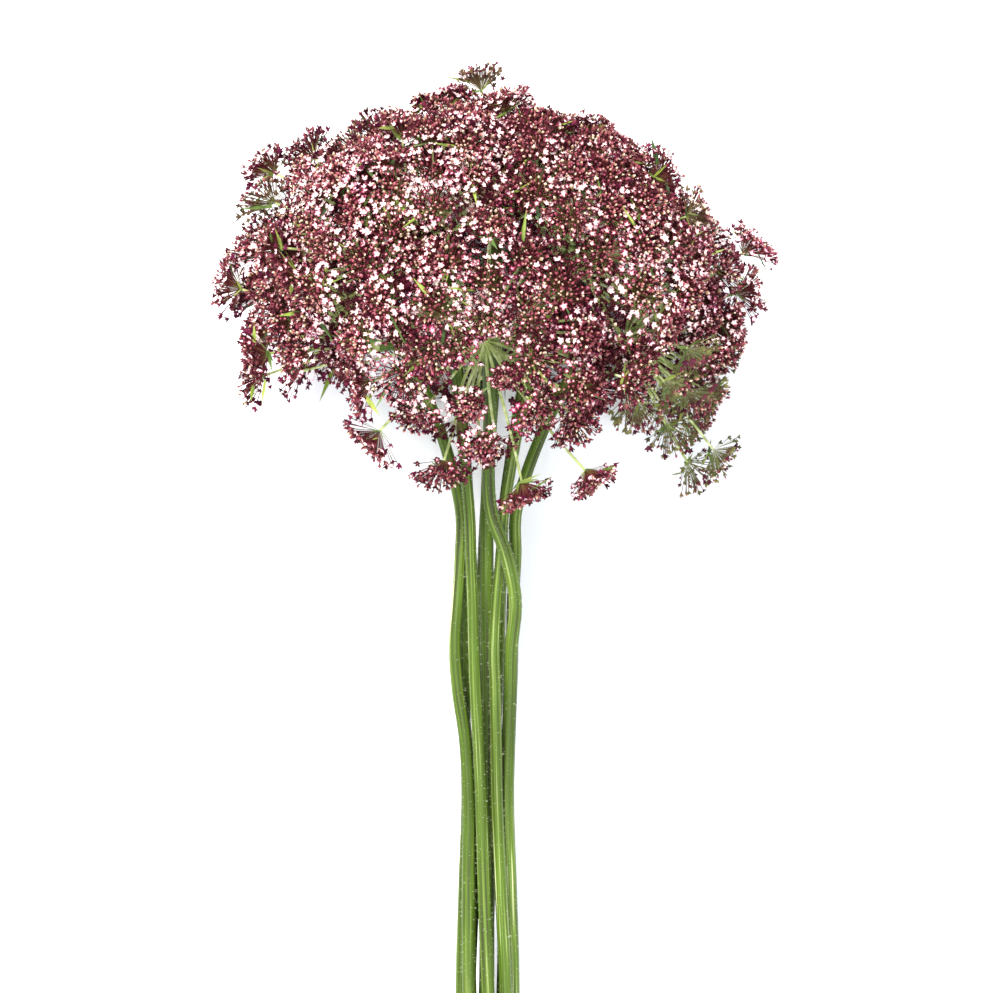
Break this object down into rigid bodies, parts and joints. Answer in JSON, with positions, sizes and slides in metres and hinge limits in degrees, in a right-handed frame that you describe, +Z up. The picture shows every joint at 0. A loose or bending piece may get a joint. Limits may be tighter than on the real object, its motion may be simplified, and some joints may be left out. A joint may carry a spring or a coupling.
{
  "type": "pink lace bishops flower",
  "caption": "Tied bunch of long-stemmed cut lace flowers lying down: burgundy and pale pink umbels crowded into one dome on green stems",
  "frame": {"origin": "on the surface that the bunch lies on, under the middle of its box", "axes": "+Y from the cut ends towards the flower heads, +X to the right seen from above with the heads up, +Z up from the surface"},
  "size_m": [0.1844, 0.457, 0.1274],
  "materials": {
    "florets": "matte",
    "stem": "satin",
    "band": "matte"
  },
  "bodies": {
    "root": {"umbel_1": "florets", "stem_1": "stem", "umbel_2": "florets", "stem_2": "stem", "umbel_3": "florets", "stem_3": "stem", "umbel_4": "florets", "stem_4": "stem", "umbel_5": "florets", "stem_5": "stem", "umbel_6": "florets", "stem_6": "stem", "umbel_7": "florets", "stem_7": "stem", "umbel_8": "florets", "stem_8": "stem", "umbel_9": "florets", "stem_9": "stem", "band": "band"}
  },
  "joints": []
}
